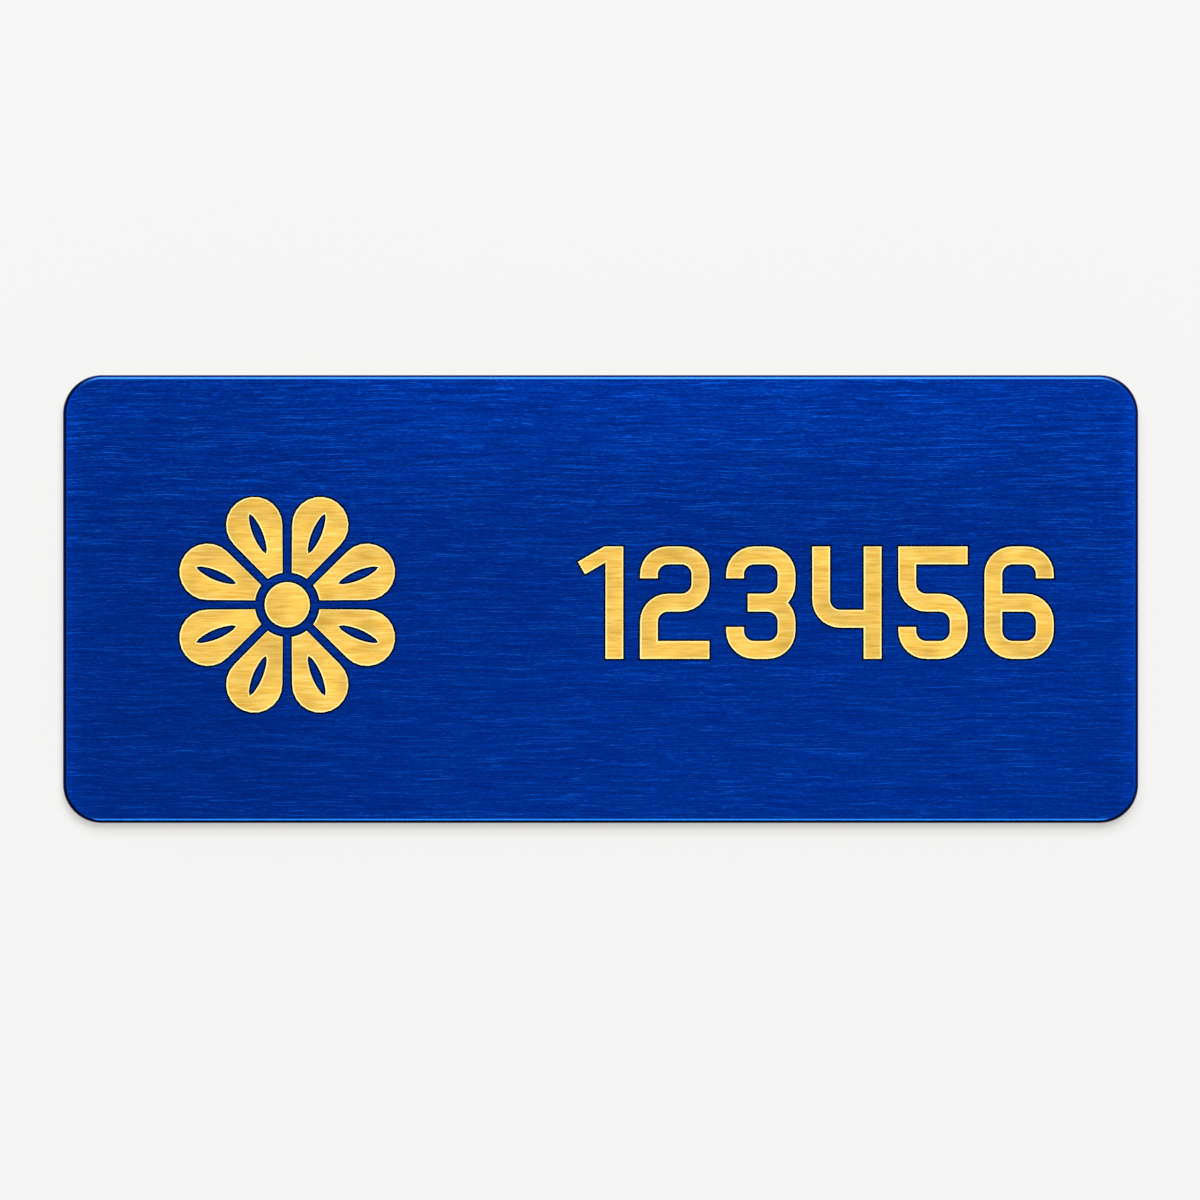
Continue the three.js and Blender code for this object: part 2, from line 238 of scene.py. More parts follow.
def new_object(name, mesh):
    """A bmesh as an object, without the shading normals of a CAD mesh that it was copied from."""
    data = bpy.data.meshes.new(name)
    mesh.to_mesh(data)
    mesh.free()
    if data.has_custom_normals:
        data.attributes.remove(data.attributes["custom_normal"])
    made = bpy.data.objects.new(name, data)
    bpy.context.scene.collection.objects.link(made)
    return made


def merged_copy(node):
    """A bmesh copy of a CAD node, with its loose triangles joined up."""
    mesh = bmesh.new()
    mesh.from_mesh(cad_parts[node].data)
    bmesh.ops.remove_doubles(mesh, verts=mesh.verts, dist=MERGE_DISTANCE)
    mesh.normal_update()
    return mesh


def finish_piece(piece, slot, *nodes):
    """Rides a piece on the badge and hides the CAD nodes that it stands for."""
    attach(piece, BODY)
    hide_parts(*nodes)


def soften(piece):
    """Smooth shading up to the sharp edges. Level faces are true flats."""
    piece.data.set_sharp_from_angle(angle=SMOOTH_ANGLE)
    for polygon in piece.data.polygons:
        polygon.use_smooth = abs(polygon.normal.z) < LEVEL


# Geometry Nodes trees

def new_tree(name, **sockets):
    """An empty tree with named inputs, and the sockets that they come in by."""
    tree = bpy.data.node_groups.new(name, "GeometryNodeTree")
    tree.interface.new_socket("Geometry", in_out="OUTPUT", socket_type="NodeSocketGeometry")
    for label, kind in {"Geometry": "Geometry", **sockets, "material": "Material"}.items():
        tree.interface.new_socket(label, in_out="INPUT", socket_type="NodeSocket" + kind)
    return tree, add(tree, "NodeGroupInput")


def close_tree(tree, geometry, material):
    """Ends a tree: copies made real, in one material."""
    real = add(tree, "GeometryNodeRealizeInstances", {"Geometry": geometry})["Geometry"]
    painted = add(tree, "GeometryNodeSetMaterial", {"Geometry": real, "Material": material})["Geometry"]
    add(tree, "NodeGroupOutput", {"Geometry": painted})
    return tree


def run_tree(name, tree, blank, **values):
    """Runs a tree on a first mesh, which may be empty, and keeps what it makes as a plain mesh."""
    made = new_object(name, blank)
    modifier = made.modifiers.new(tree.name, "NODES")
    modifier.node_group = tree
    sockets = {item.name: item.identifier for item in tree.interface.items_tree if item.in_out == "INPUT"}
    for label, value in values.items():
        modifier[sockets[label]] = value
    evaluated = made.evaluated_get(bpy.context.evaluated_depsgraph_get())
    plain = bpy.data.meshes.new_from_object(evaluated)
    made.modifiers.remove(modifier)
    made.data = plain
    return made


def edge_round(tree, segments, radius, level, inward, start):
    """A quarter circle between a slab's flat, at a level, and its side, which stands at zero. Inward is the
    sum that leads from the level into the slab."""
    centre_height = add(tree, "ShaderNodeMath", {0: level, 1: radius}, operation=inward)["Value"]
    centre_inset = add(tree, "ShaderNodeMath", {0: radius, 1: -1.0}, operation="MULTIPLY")["Value"]
    centre = add(tree, "ShaderNodeCombineXYZ", {"X": centre_inset, "Y": centre_height})["Vector"]
    quarter = add(tree, "GeometryNodeCurveArc", {
        "Resolution": segments, "Radius": radius, "Start Angle": start, "Sweep Angle": math.pi / 2,
    })["Curve"]
    return add(tree, "GeometryNodeTransform", {"Geometry": quarter, "Translation": centre})["Geometry"]


def slab_band(tree, size):
    """A slab's sides and their rounds, swept along its outline."""
    sharp = add(tree, "GeometryNodeCurvePrimitiveQuadrilateral", {
        "Width": size["length"], "Height": size["width"],
    })["Curve"]
    outline = add(tree, "GeometryNodeFilletCurve", {
        "Curve": sharp, "Count": size["corner_segments"], "Radius": size["corner_radius"],
        "Limit Radius": True,
    }, mode="POLY")["Curve"]
    outline = add(tree, "GeometryNodeSetCurveNormal", {"Curve": outline}, mode="Z_UP")["Curve"]
    segments = size["edge_segments"]
    rounds = add(tree, "GeometryNodeJoinGeometry", {"Geometry": [
        edge_round(tree, segments, size["face_radius"], size["face"], "SUBTRACT", 0.0),
        edge_round(tree, segments, size["back_radius"], size["back"], "ADD", -math.pi / 2),
    ]})["Geometry"]
    # A section's Y axis points down where the path's normals lie level
    rounds = add(tree, "GeometryNodeTransform", {"Geometry": rounds, "Scale": (1, -1, 1)})["Geometry"]
    points = add(tree, "GeometryNodeCurveToPoints", {"Curve": rounds}, mode="EVALUATED")["Points"]
    place = add(tree, "GeometryNodeInputPosition")["Position"]
    order = add(tree, "ShaderNodeSeparateXYZ", {"Vector": place})["Y"]
    section = add(tree, "GeometryNodePointsToCurves", {"Points": points, "Weight": order})["Curves"]
    return add(tree, "GeometryNodeCurveToMesh", {"Curve": outline, "Profile Curve": section})["Mesh"]


def rounded_slab_tree():
    """A slab with round corners and edges. Its face is filled round the pockets that it starts from."""
    tree, size = new_tree(
        "rounded slab", length="Float", width="Float", face="Float", back="Float", corner_radius="Float",
        corner_segments="Int", face_radius="Float", back_radius="Float", edge_segments="Int",
    )
    pockets = size["Geometry"]
    band = slab_band(tree, size)

    faces_beside = add(tree, "GeometryNodeInputMeshEdgeNeighbors")["Face Count"]
    is_open = add(tree, "FunctionNodeCompare", {
        WHOLE_A: faces_beside, WHOLE_B: 1,
    }, data_type="INT", operation="EQUAL")["Result"]
    place = add(tree, "GeometryNodeInputPosition")["Position"]
    height = add(tree, "ShaderNodeSeparateXYZ", {"Vector": place})["Z"]
    levels = add(tree, "ShaderNodeMath", {0: size["face"], 1: size["back"]}, operation="ADD")["Value"]
    middle = add(tree, "ShaderNodeMath", {0: levels, 1: 0.5}, operation="MULTIPLY")["Value"]
    is_upper = add(tree, "FunctionNodeCompare", {0: height, 1: middle}, operation="GREATER_THAN")["Result"]
    at_top = add(tree, "FunctionNodeBooleanMath", {0: is_open, 1: is_upper}, operation="AND")["Boolean"]
    at_bottom = add(tree, "FunctionNodeBooleanMath", {
        0: is_open, 1: is_upper,
    }, operation="NIMPLY")["Boolean"]

    top_loop = add(tree, "GeometryNodeMeshToCurve", {"Mesh": band, "Selection": at_top})["Curve"]
    rims = add(tree, "GeometryNodeMeshToCurve", {"Mesh": pockets, "Selection": is_open})["Curve"]
    top_loops = add(tree, "GeometryNodeJoinGeometry", {"Geometry": [top_loop, rims]})["Geometry"]
    top = add(tree, "GeometryNodeFillCurve", {"Curve": top_loops})["Mesh"]
    face_place = add(tree, "ShaderNodeCombineXYZ", {"Z": size["face"]})["Vector"]
    top = add(tree, "GeometryNodeTransform", {"Geometry": top, "Translation": face_place})["Geometry"]

    bottom_loop = add(tree, "GeometryNodeMeshToCurve", {"Mesh": band, "Selection": at_bottom})["Curve"]
    bottom = add(tree, "GeometryNodeFillCurve", {"Curve": bottom_loop}, mode="NGONS")["Mesh"]
    back_place = add(tree, "ShaderNodeCombineXYZ", {"Z": size["back"]})["Vector"]
    bottom = add(tree, "GeometryNodeTransform", {"Geometry": bottom, "Translation": back_place})["Geometry"]
    bottom = add(tree, "GeometryNodeFlipFaces", {"Mesh": bottom})["Mesh"]

    flats = add(tree, "GeometryNodeJoinGeometry", {"Geometry": [top, bottom, pockets]})["Geometry"]
    flats = add(tree, "GeometryNodeSetShadeSmooth", {"Geometry": flats, "Shade Smooth": False})["Geometry"]
    band = add(tree, "GeometryNodeSetShadeSmooth", {"Geometry": band, "Shade Smooth": True})["Geometry"]
    whole = add(tree, "GeometryNodeJoinGeometry", {"Geometry": [flats, band]})["Geometry"]
    sewn = add(tree, "GeometryNodeMergeByDistance", {
        "Geometry": whole, "Distance": MERGE_DISTANCE,
    })["Geometry"]
    return close_tree(tree, sewn, size["material"])


def ring_tree():
    """Copies of the start mesh turned round a centre, evenly spaced."""
    tree, ring = new_tree("ring of copies", centre="Vector", count="Int")
    away = add(tree, "ShaderNodeVectorMath", {
        0: ring["centre"], "Scale": -1.0,
    }, operation="SCALE")["Vector"]
    first = add(tree, "GeometryNodeTransform", {
        "Geometry": ring["Geometry"], "Translation": away,
    })["Geometry"]
    points = add(tree, "GeometryNodePoints", {
        "Count": ring["count"], "Position": ring["centre"],
    })["Points"]
    index = add(tree, "GeometryNodeInputIndex")["Index"]
    step = add(tree, "ShaderNodeMath", {0: math.tau, 1: ring["count"]}, operation="DIVIDE")["Value"]
    angle = add(tree, "ShaderNodeMath", {0: index, 1: step}, operation="MULTIPLY")["Value"]
    turn = add(tree, "ShaderNodeCombineXYZ", {"Z": angle})["Vector"]
    copies = add(tree, "GeometryNodeInstanceOnPoints", {
        "Points": points, "Instance": first, "Rotation": turn,
    })["Instances"]
    return close_tree(tree, copies, ring["material"])


def wire_tree():
    """A round wire drawn out to a point at its end."""
    tree, wire = new_tree(
        "pointed wire", start="Vector", end="Vector", radius="Float", tip_length="Float", tip_share="Float",
        steps="Int", sides="Int",
    )
    line = add(tree, "GeometryNodeCurvePrimitiveLine", {
        "Start": wire["start"], "End": wire["end"],
    })["Curve"]
    path = add(tree, "GeometryNodeResampleCurve", {"Curve": line, "Count": wire["steps"]})["Curve"]
    along = add(tree, "GeometryNodeSplineParameter")["Length"]
    whole = add(tree, "GeometryNodeCurveLength", {"Curve": path})["Length"]
    left = add(tree, "ShaderNodeMath", {0: whole, 1: along}, operation="SUBTRACT")["Value"]
    taper = add(tree, "ShaderNodeMapRange", {
        "Value": left, "From Max": wire["tip_length"], "To Min": wire["tip_share"],
    })["Result"]
    section = add(tree, "GeometryNodeCurvePrimitiveCircle", {
        "Resolution": wire["sides"], "Radius": wire["radius"],
    })["Curve"]
    swept = add(tree, "GeometryNodeCurveToMesh", {
        "Curve": path, "Profile Curve": section, "Scale": taper, "Fill Caps": True,
    })["Mesh"]
    return close_tree(tree, swept, wire["material"])


# Plate and marks

def pocket_mesh():
    """The walls and floors of the pockets that the CAD plate has for its marks, open at the face."""
    mesh = merged_copy("plate")
    below_face = PLATE_HIGH.z - MERGE_DISTANCE
    flats = [face for face in mesh.faces if face.normal.z > CAD_FLAT]
    heights = [face.calc_center_median().z for face in flats]
    floor = max(height for height in heights if height < below_face)
    others = [
        face for face in mesh.faces
        if min(vert.co.z for vert in face.verts) < floor - MERGE_DISTANCE
        or CAD_WALL < face.normal.z < CAD_FLAT
        or (face.normal.z > CAD_FLAT and face.verts[0].co.z > below_face)
    ]
    bmesh.ops.delete(mesh, geom=others, context="FACES")
    return mesh


def refilled(mesh, faces):
    """Fills a flat region afresh, in triangles that have no slivers, and returns the new faces."""
    edges = {edge for face in faces for edge in face.edges}
    rim = [edge for edge in edges if not all(beside in faces for beside in edge.link_faces)]
    rim.sort(key=lambda edge: edge.index)
    bmesh.ops.delete(mesh, geom=faces, context="FACES_KEEP_BOUNDARY")
    made = bmesh.ops.triangle_fill(mesh, edges=rim, use_beauty=True, normal=(0, 0, 1))
    return [item for item in made["geom"] if isinstance(item, bmesh.types.BMFace)]


def engraved(node, mitred):
    """A dish in place of a flat inlay: its floor is the inlay's top, and its walls reach out to the plate's
    face. They keep their width round square corners if mitred, and thin out round sharp tips if not."""
    mesh = merged_copy(node)
    floor = max(vert.co.z for vert in mesh.verts)
    depth = PLATE_HIGH.z - floor
    inlay_top = [
        face for face in mesh.faces
        if min(vert.co.z for vert in face.verts) > floor - MERGE_DISTANCE
    ]
    top = refilled(mesh, inlay_top)
    corners = {vert for face in top for vert in face.verts}
    bmesh.ops.translate(mesh, verts=list(corners), vec=(0, 0, depth))
    for width, drop in ((CUT_WIDTH, depth - RIM_DEPTH), (RIM_WIDTH, RIM_DEPTH)):
        bmesh.ops.inset_region(mesh, faces=top, thickness=width, depth=-drop, use_even_offset=mitred)
    refilled(mesh, top)
    return mesh


def make_plate(slab, material):
    """The plate round the pockets of its marks."""
    plate = run_tree(
        "lacquered_plate", slab, pocket_mesh(),
        length=PLATE_HIGH.x - PLATE_LOW.x, width=PLATE_HIGH.y - PLATE_LOW.y,
        face=PLATE_HIGH.z, back=PLATE_LOW.z, corner_radius=CORNER_RADIUS, corner_segments=CORNER_SEGMENTS,
        face_radius=FRONT_EDGE_RADIUS, back_radius=BACK_EDGE_RADIUS, edge_segments=EDGE_SEGMENTS + 1,
        material=material,
    )
    finish_piece(plate, "blue_lacquer", "plate")


def make_marks(material):
    """The rosette, with its petals turned round its boss, and the digits."""
    boss_low, boss_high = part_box("rosette_boss")
    centre = (boss_low + boss_high) / 2
    centre.z = 0
    petals = run_tree(
        "engraved_petals", ring_tree(), engraved(PETALS[0], False), centre=centre, count=len(PETALS),
        material=material,
    )
    soften(petals)
    finish_piece(petals, "gold_brass", *PETALS)
    for node in ["rosette_boss", *DIGITS]:
        mark = new_object("engraved_" + node, engraved(node, True))
        mark.data.materials.append(material)
        soften(mark)
        finish_piece(mark, "gold_brass", node)


# Bar pin

def arc(centre, radius, start, end):
    """Points of an arc from one angle to another, in degrees."""
    angles = [math.radians(start + (end - start) * step / ARC_STEPS) for step in range(ARC_STEPS + 1)]
    across, up = centre
    return [(across + radius * math.cos(angle), up + radius * math.sin(angle)) for angle in angles]


def sheet_part(outline, low, high):
    """An outline, drawn counter-clockwise, as a sheet from low to high with broken edges."""
    mesh = bmesh.new()
    lower, upper = ([mesh.verts.new((*point, level)) for point in outline] for level in (low, high))
    rims = list(mesh.faces.new(reversed(lower)).edges) + list(mesh.faces.new(upper).edges)
    for index in range(len(outline)):
        mesh.faces.new((lower[index - 1], lower[index], upper[index], upper[index - 1]))
    bmesh.ops.bevel(
        mesh, geom=rims, offset=PIN_EDGE_ROUND, offset_type="OFFSET", segments=PIN_EDGE_SEGMENTS,
        profile=ROUND_PROFILE, affect="EDGES", clamp_overlap=True,
    )
    return mesh


def ear_outline(root):
    """An ear of the hinge, hanging from the middle of the strip's thickness."""
    half = EAR_LENGTH / 2
    bend = EAR_CORNER_RADIUS
    return [
        (half, root),
        (-half, root),
        *arc((bend - half, bend), bend, 180, 270),
        *arc((half - bend, bend), bend, 270, 360),
    ]


def hook_outline(root):
    """The hook seen along the wire: down from the strip, under the wire and up to a round lip."""
    side = HOOK_WIDTH / 2
    bend = SHEET + HOOK_BEND
    lip = (side - SHEET / 2, HOOK_LIP - SHEET / 2)
    return [
        (-side, root),
        *arc((bend - side, bend), bend, 180, 270),
        *arc((side - bend, bend), bend, 270, 360),
        *arc(lip, SHEET / 2, 0, 180),
        *arc((side - bend, bend), HOOK_BEND, 360, 270),
        *arc((bend - side, bend), HOOK_BEND, 270, 180),
        (SHEET - side, root),
    ]


def make_pin(slab, material):
    """A long strip bonded to the plate's back, which carries a hinge, a hook and the pin's wire."""
    length = PIN_HIGH.x - PIN_LOW.x
    width = PIN_HIGH.y - PIN_LOW.y
    strip = run_tree(
        "pin_strip", slab, bmesh.new(), length=length, width=width,
        face=PIN_HIGH.z, back=PIN_HIGH.z - SHEET,
        corner_radius=width / 2 - PIN_EDGE_ROUND, corner_segments=CORNER_SEGMENTS,
        face_radius=PIN_EDGE_ROUND, back_radius=PIN_EDGE_ROUND, edge_segments=PIN_EDGE_SEGMENTS + 1,
        material=material,
    )

    fitting = length / 2 - FITTING_INSET
    knuckle = KNUCKLE_CLEARANCE + KNUCKLE_RADIUS
    start = Vector((-fitting, 0, knuckle))
    over_hook = Vector((fitting, 0, SHEET + WIRE_RADIUS - WIRE_BITE))
    run = over_hook - start
    end = start + run * (1 + (HOOK_LENGTH / 2 + TIP_OVERHANG) / run.length)
    wire = run_tree(
        "pin_wire", wire_tree(), bmesh.new(), start=start, end=end, radius=WIRE_RADIUS,
        tip_length=TIP_LENGTH, tip_share=TIP_SHARE, steps=WIRE_STEPS, sides=WIRE_SIDES, material=material,
    )

    # Drawn in X and Z and raised along -Y, or drawn in Y and Z and raised along X
    at_hinge = Matrix(((1, 0, 0, -fitting), (0, 0, -1, 0), (0, 1, 0, 0), (0, 0, 0, 1)))
    at_hook = Matrix(((0, 0, 1, fitting), (1, 0, 0, 0), (0, 1, 0, 0), (0, 0, 0, 1)))
    root = PIN_HIGH.z - SHEET / 2
    ear = ear_outline(root)
    ear_side = PIN_HIGH.y - EAR_INSET
    over, under = (arc((0, knuckle), KNUCKLE_RADIUS, turn, turn + 180) for turn in (0, 180))
    barrel = over[:-1] + under[:-1]
    parts = {
        "pin_ear_front": (ear, ear_side - SHEET, ear_side, at_hinge),
        "pin_ear_back": (ear, -ear_side, SHEET - ear_side, at_hinge),
        "pin_knuckle": (barrel, SHEET / 2 - PIN_HIGH.y, PIN_HIGH.y - SHEET / 2, at_hinge),
        "pin_hook": (hook_outline(root), -HOOK_LENGTH / 2, HOOK_LENGTH / 2, at_hook),
    }
    pieces = [strip, wire]
    for name, (outline, low, high, place) in parts.items():
        mesh = sheet_part(outline, low, high)
        mesh.transform(place)
        made = new_object(name, mesh)
        made.data.materials.append(material)
        pieces.append(made)
    for piece in pieces:
        soften(piece)
        finish_piece(piece, "nickel_steel", "pin_back")


# Materials

def new_material(name):
    """A material with nothing in its tree yet."""
    material = bpy.data.materials.new(name)
    material.use_nodes = True
    material.node_tree.nodes.clear()
    return material, material.node_tree


def finish_metal(tree, grain, strength, depth, inputs):
    """Ends a material as metal, with its grain as a faint relief."""
    bump = add(tree, "ShaderNodeBump", {"Height": grain, "Strength": strength, "Distance": depth})["Normal"]
    shader = add(tree, "ShaderNodeBsdfPrincipled", {"Metallic": 1.0, "Normal": bump, **inputs})["BSDF"]
    add(tree, "ShaderNodeOutputMaterial", {"Surface": shader})


def brush_marks(tree, place, length, thickness, start):
    """Noise drawn out along X into marks of about this length and thickness. It is turned after it is drawn
    out, so that no grid shows."""
    drawn = add(tree, "ShaderNodeMapping", {
        "Vector": place, "Location": (start, start, start), "Rotation": MARK_TURN,
        "Scale": (1 / length, 1 / thickness, 1 / thickness),
    })["Vector"]
    return add(tree, "ShaderNodeTexNoise", {"Vector": drawn, "Scale": 1.0, "Detail": 0.0})["Fac"]


def brushed_grain(tree, place, sets, span):
    """Sets of brush marks added up, each by its share, and spread from 0 to 1 over the span they fill."""
    grain = 0.0
    for length, thickness, start, share in sets:
        marks = brush_marks(tree, place, length, thickness, start)
        grain = add(tree, "ShaderNodeMath", {
            0: marks, 1: share, 2: grain,
        }, operation="MULTIPLY_ADD")["Value"]
    low, high = span
    return add(tree, "ShaderNodeMapRange", {"Value": grain, "From Min": low, "From Max": high})["Result"]


def lacquer_grain(tree, place):
    """Long, short and middling brush marks that wander a little along Y, with pale hairs among them."""
    drift = add(tree, "ShaderNodeTexNoise", {
        "Vector": place, "Scale": 1 / DRIFT_SPACING, "Detail": 1.0,
    })["Fac"]
    shift = add(tree, "ShaderNodeCombineXYZ", {"Y": drift})["Vector"]
    lines = add(tree, "ShaderNodeVectorMath", {
        0: shift, 1: (0, LINE_DRIFT, 0), 2: place,
    }, operation="MULTIPLY_ADD")["Vector"]
    grain = brushed_grain(tree, lines, LACQUER_MARKS, LACQUER_MARK_SPAN)
    for length, start, least in HAIRS:
        noise = brush_marks(tree, lines, length, HAIR_THICKNESS, start)
        hairs = add(tree, "ShaderNodeMapRange", {
            "Value": noise, "From Min": least, "From Max": HAIR_PEAK, "To Max": HAIR_LIFT,
        })["Result"]
        grain = add(tree, "ShaderNodeMath", {0: grain, 1: hairs}, operation="ADD")["Value"]
    return grain


def painted_light_and_cloud(tree, place):
    """How much lighter the face is than its tone: painted light toward the top and close to the ends,
    painted shade toward the left, and a little uneven all over."""
    part = add(tree, "ShaderNodeSeparateXYZ", {"Vector": place})
    from_middle = add(tree, "ShaderNodeMath", {0: part["X"]}, operation="ABSOLUTE")["Value"]
    cloud = add(tree, "ShaderNodeTexNoise", {
        "Vector": place, "Scale": 1 / LACQUER_CLOUD, "Detail": 1.0,
    })["Fac"]
    painted_top_light_peak = add(tree, "ShaderNodeMapRange", {
        "Value": part["X"], "From Min": LEFT_PAINTED_SHADE_START, "From Max": LEFT_PAINTED_SHADE_END,
        "To Min": 1.14, "To Max": 1.3,
    }, interpolation_type="SMOOTHSTEP")["Result"]
    lift = 1.0
    # Painted light toward the top and the ends, painted shade toward the left; only the cloud is the
    # lacquer's own uneven tone
    for value, low, high, least, most, way in (
        (part["Y"], TOP_PAINTED_LIGHT_START, PLATE_HIGH.y, 1.0, painted_top_light_peak, "SMOOTHSTEP"),
        (from_middle, END_PAINTED_LIGHT_START, PLATE_HIGH.x - FRONT_EDGE_RADIUS, 1.0, 1.3, "LINEAR"),
        (part["X"], LEFT_PAINTED_SHADE_START, LEFT_PAINTED_SHADE_END, 0.92, 1.0, "SMOOTHSTEP"),
        (cloud, NOISE_LOW, NOISE_HIGH, 0.94, 1.06, "LINEAR"),
    ):
        factor = add(tree, "ShaderNodeMapRange", {
            "Value": value, "From Min": low, "From Max": high, "To Min": least, "To Max": most,
        }, interpolation_type=way)["Result"]
        lift = add(tree, "ShaderNodeMath", {0: lift, 1: factor}, operation="MULTIPLY")["Value"]
    return lift


def lacquer_face(tree, place, grain):
    """The lacquer's colour on the face, where the brushing is calmer toward the bottom, with painted light
    toward the top and the ends and painted shade toward the left.
    """
    tone = add(tree, "ShaderNodeValToRGB", {"Fac": grain}, stops=LACQUER_TONES)["Color"]
    height = add(tree, "ShaderNodeSeparateXYZ", {"Vector": place})["Y"]
    calm = add(tree, "ShaderNodeMapRange", {
        "Value": height, "From Min": CALM_LOW, "From Max": CALM_HIGH, "To Min": CALM_SHARE, "To Max": 0.0,
    })["Result"]
    tone = add(tree, "ShaderNodeMix", {
        "Factor": calm, COLOUR_A: tone, COLOUR_B: srgb(CALM_TONE),
    }, data_type="RGBA")[COLOUR_MIX]
    # Painted light and painted shade over the face, times a random cloud
    lift = painted_light_and_cloud(tree, place)
    return add(tree, "ShaderNodeVectorMath", {0: tone, "Scale": lift}, operation="SCALE")["Vector"]


def shoulder_painted_light(tree, normal, upright):
    """The lacquer's colour over the rounded edge, in painted highlights and painted shade: the ends'
    colours, with more painted shade where they turn toward the bottom, and on the sides that face along Y
    the long edges' own painted highlights."""
    level = add(tree, "ShaderNodeVectorMath", {0: normal, 1: (1, 1, 0)}, operation="MULTIPLY")["Vector"]
    outward = add(tree, "ShaderNodeVectorMath", {0: level}, operation="NORMALIZE")["Vector"]
    toward_top = add(tree, "ShaderNodeSeparateXYZ", {"Vector": outward})["Y"]
    ends = add(tree, "ShaderNodeValToRGB", {"Fac": upright}, stops=END_EDGE_PAINTED_LIGHT)["Color"]
    # Painted shade on the ends where they turn toward the bottom
    shade = add(tree, "ShaderNodeMapRange", {
        "Value": toward_top, "From Min": 0.0, "From Max": -0.6, "To Min": 1.0, "To Max": 0.58,
    })["Result"]
    colour = add(tree, "ShaderNodeVectorMath", {0: ends, "Scale": shade}, operation="SCALE")["Vector"]
    # Painted highlights and painted shade of the long edges, brightest along the top
    for stops, start, full in LONG_EDGE_PAINTED_LIGHT:
        edge = add(tree, "ShaderNodeValToRGB", {"Fac": upright}, stops=stops)["Color"]
        turned = add(tree, "ShaderNodeMapRange", {
            "Value": toward_top, "From Min": start, "From Max": full,
        })["Result"]
        colour = add(tree, "ShaderNodeMix", {
            "Factor": turned, COLOUR_A: colour, COLOUR_B: edge,
        }, data_type="RGBA")[COLOUR_MIX]
    return colour


def brushed_lacquer():
    """Translucent blue lacquer sprayed over the face and sides of brass that was brushed along its length.
    The brushing shows through as fine pale lines. Over the rounded edge the lacquer is glossy, and its
    colour
    there is painted light: a pale blue painted highlight along the long edges, strongest along the top, and
    painted shade further down the round that is nearly black. The straight sides are much as the face, and
    the back is bare."""
    material, tree = new_material("blue lacquer over brushed brass")
    coordinates = add(tree, "ShaderNodeTexCoord")
    place = coordinates["Object"]
    normal = coordinates["Normal"]
    upright = add(tree, "ShaderNodeSeparateXYZ", {"Vector": normal})["Z"]
    zones = {}
    for name, (start, full, most) in ZONES.items():
        zones[name] = add(tree, "ShaderNodeMapRange", {
            "Value": upright, "From Min": start, "From Max": full, "To Max": most,
        })["Result"]

    grain = lacquer_grain(tree, place)
    face = lacquer_face(tree, place, grain)
    painted_shoulder = shoulder_painted_light(tree, normal, upright)
    brass = add(tree, "ShaderNodeValToRGB", {"Fac": grain}, stops=BACK_TONES)["Color"]
    colour = face
    # Over the round, the painted highlights and painted shade of the shoulder's colours
    for name, over in (("round", painted_shoulder), ("wall", face), ("bare", brass)):
        colour = add(tree, "ShaderNodeMix", {
            "Factor": zones[name], COLOUR_A: colour, COLOUR_B: over,
        }, data_type="RGBA")[COLOUR_MIX]

    # The gloss starts past the nearly level part of the round, which would mirror the key light
    crest = add(tree, "ShaderNodeMath", {
        0: zones["thin"], 1: zones["steep"],
    }, operation="SUBTRACT")["Value"]
    gloss = add(tree, "ShaderNodeMath", {0: crest, 1: COAT_SHARE}, operation="MULTIPLY")["Value"]
    roughness = add(tree, "ShaderNodeMapRange", {
        "Value": zones["thin"], "To Min": 0.62, "To Max": 0.32,
    })["Result"]
    finish_metal(tree, grain, 0.25, 0.01 * MM, {
        "Base Color": colour, "Roughness": roughness, "Coat Weight": gloss, "Coat Roughness": 0.16,
    })
    return material


def cut_brass():
    """Brass laid bare by the cutter: fine brushed lines on a cloudy ground, with a pale painted highlight
    on the rim and painted shade, nearly black, on the steep cut through the lacquer."""
    material, tree = new_material("bare engraved brass")
    coordinates = add(tree, "ShaderNodeTexCoord")
    place = coordinates["Object"]
    upright = add(tree, "ShaderNodeSeparateXYZ", {"Vector": coordinates["Normal"]})["Z"]
    grain = brushed_grain(tree, place, BRASS_MARKS, BRASS_MARK_SPAN)
    tone = add(tree, "ShaderNodeValToRGB", {"Fac": grain}, stops=BRASS_TONES)["Color"]
    cloud = add(tree, "ShaderNodeTexNoise", {
        "Vector": place, "Scale": 1 / BRASS_CLOUD, "Detail": 1.0,
    })["Fac"]
    lift = add(tree, "ShaderNodeMapRange", {
        "Value": cloud, "From Min": NOISE_LOW, "From Max": NOISE_HIGH, "To Min": 0.86, "To Max": 1.14,
    })["Result"]
    floor = add(tree, "ShaderNodeVectorMath", {0: tone, "Scale": lift}, operation="SCALE")["Vector"]
    # Painted shade on the steep cut and a painted highlight on the rim, by how upright the surface is
    painted_slope_light = add(tree, "ShaderNodeValToRGB", {"Fac": upright}, stops=SLOPE_PAINTED_LIGHT)["Color"]
    sloping = add(tree, "ShaderNodeMapRange", {
        "Value": upright, "From Min": 0.9995, "From Max": 0.99,
    })["Result"]
    colour = add(tree, "ShaderNodeMix", {
        "Factor": sloping, COLOUR_A: floor, COLOUR_B: painted_slope_light,
    }, data_type="RGBA")[COLOUR_MIX]
    finish_metal(tree, grain, 0.15, 0.01 * MM, {"Base Color": colour, "Roughness": 0.62})
    return material


